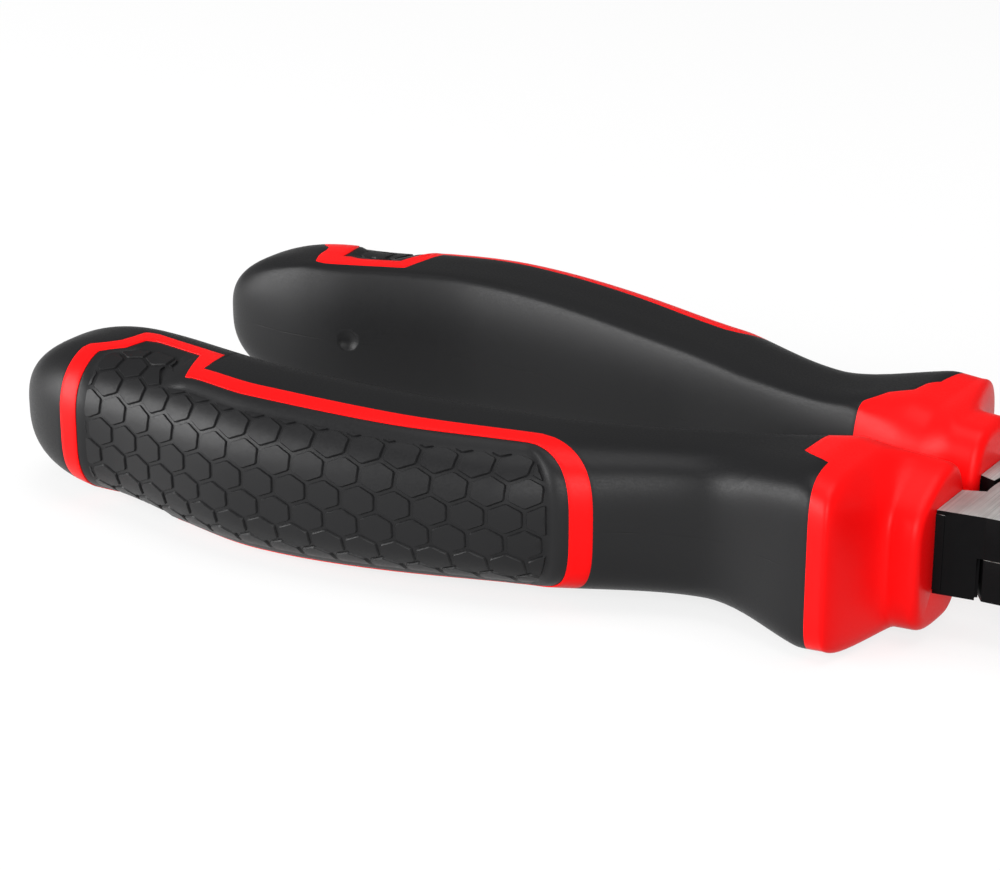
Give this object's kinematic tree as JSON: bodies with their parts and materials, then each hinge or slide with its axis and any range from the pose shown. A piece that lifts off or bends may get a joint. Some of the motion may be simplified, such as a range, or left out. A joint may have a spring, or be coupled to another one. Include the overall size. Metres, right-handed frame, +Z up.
{
  "type": "lineman pliers",
  "caption": "Lineman pliers with a riveted lap joint, serrated nose, side cutters and long curved moulded grips with hand guards and bordered palm panels.",
  "frame": {"origin": "bottom centre of the closed tool lying flat on its guards", "axes": "+X from the grips towards the nose, +Z up along the pivot axis, +Y to the left handle"},
  "size_m": [0.195, 0.074, 0.022],
  "materials": {
    "steel": "forged tool steel, faces ground bright, sides blackened",
    "core_plastic": "moulded polypropylene, hidden",
    "red_plastic": "moulded, semi-gloss",
    "grip_rubber": "moulded thermoplastic rubber, fine satin grain",
    "panel_rubber": "moulded thermoplastic rubber with a tile relief"
  },
  "bodies": {
    "right_half": {"pivot_rivet": "steel", "right_plier_half": "steel", "right_grip_core": "core_plastic", "right_hand_guard": "red_plastic", "right_grip_sleeve": "grip_rubber", "right_border_trim": "red_plastic", "right_palm_panel": "panel_rubber"},
    "left_half": {"left_plier_half": "steel", "left_grip_core": "core_plastic", "left_hand_guard": "red_plastic", "left_grip_sleeve": "grip_rubber", "left_border_trim": "red_plastic", "left_palm_panel": "panel_rubber"}
  },
  "joints": [
    {"name": "pivot", "type": "hinge", "parent": "right_half", "child": "left_half", "pos_m": [0.0424, 0, 0.0112], "axis": [0, 0, -1], "range_deg": [0, 36]}
  ]
}
